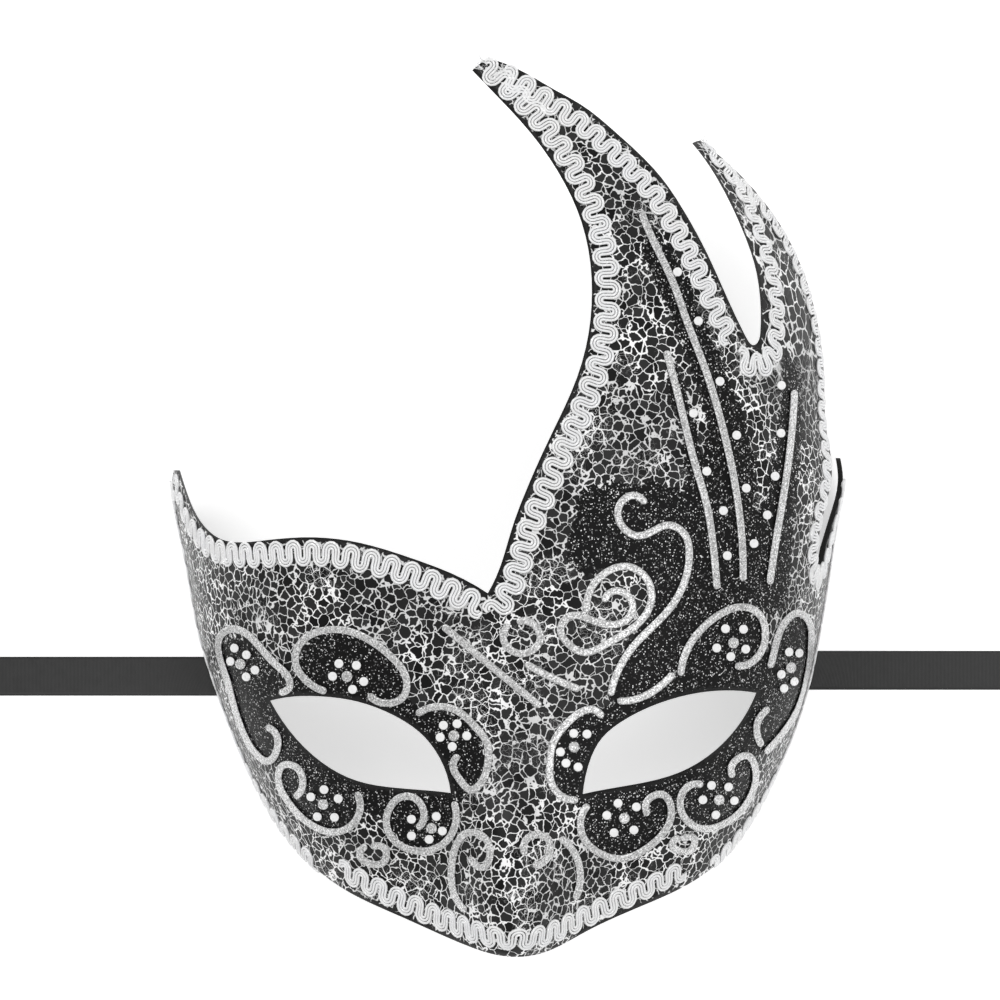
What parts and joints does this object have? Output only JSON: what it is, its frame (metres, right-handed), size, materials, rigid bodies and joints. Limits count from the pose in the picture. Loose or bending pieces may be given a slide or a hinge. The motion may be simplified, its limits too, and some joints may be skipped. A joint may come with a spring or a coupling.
{
  "type": "masquerade mask",
  "caption": "Venetian half mask with a tall swept plume, crackle paint, glitter scrolls, gimp braid edging and satin ribbon ties glued inside the temples",
  "frame": {"origin": "centre of the bottom of the mask's bounding box, on the surface it lies on, measured without the free ties", "axes": "+Z out of the face, +Y up the face towards the plume tips, +X to the right when the face is looked at"},
  "size_m": [0.382, 0.2242, 0.079],
  "materials": {
    "crackle_painted_plastic": "black moulded plastic with white crackle paint and black glitter paint",
    "gimp_braid": "white and silver serpentine gimp braid",
    "silver_glitter": "silver glitter glue",
    "white_paint": "raised white dimensional paint",
    "hot_melt_glue": "translucent hot-melt glue",
    "black_satin": "black satin ribbon"
  },
  "bodies": {
    "mask": {"braid_brow": "gimp_braid", "braid_chin": "gimp_braid", "braid_crest": "gimp_braid", "braid_left_side": "gimp_braid", "braid_neck": "gimp_braid", "braid_notch": "gimp_braid", "braid_right_side": "gimp_braid", "braid_second_plume": "gimp_braid", "glitter_bridge": "silver_glitter", "glitter_left_brow": "silver_glitter", "glitter_left_cheek": "silver_glitter", "glitter_left_cheek_ring": "silver_glitter", "glitter_left_inner": "silver_glitter", "glitter_left_nose_side": "silver_glitter", "glitter_left_temple": "silver_glitter", "glitter_nose_left": "silver_glitter", "glitter_nose_right": "silver_glitter", "glitter_plume_line_long": "silver_glitter", "glitter_plume_line_middle": "silver_glitter", "glitter_plume_line_outer": "silver_glitter", "glitter_right_brow": "silver_glitter", "glitter_right_cheek": "silver_glitter", "glitter_right_cheek_ring": "silver_glitter", "glitter_right_inner": "silver_glitter", "glitter_right_nose_side": "silver_glitter", "glitter_right_temple": "silver_glitter", "glitter_swan_neck": "silver_glitter", "glitter_swan_wing": "silver_glitter", "glue_pad_left": "hot_melt_glue", "glue_pad_right": "hot_melt_glue", "mask_shell": "crackle_painted_plastic", "silver_dots_left_eye": "silver_glitter", "silver_dots_right_eye": "silver_glitter", "tie_tab_left": "black_satin", "tie_tab_right": "black_satin", "white_dots_left_eye": "white_paint", "white_dots_plume": "white_paint", "white_dots_right_eye": "white_paint"},
    "ribbon_left": {"tie_left": "black_satin", "tie_coil_left": "black_satin"},
    "ribbon_right": {"tie_right": "black_satin", "tie_coil_right": "black_satin"}
  },
  "joints": [
    {"name": "tie_fold_left", "type": "hinge", "parent": "mask", "child": "ribbon_left", "pos_m": [-0.07423, -0.044, 0.0002], "axis": [0.3134, -0.9496, 0], "range_deg": [0, 100]},
    {"name": "tie_fold_right", "type": "hinge", "parent": "mask", "child": "ribbon_right", "pos_m": [0.07627, -0.0425, 0.0002], "axis": [0.2516, 0.9678, 0], "range_deg": [0, 100]}
  ]
}
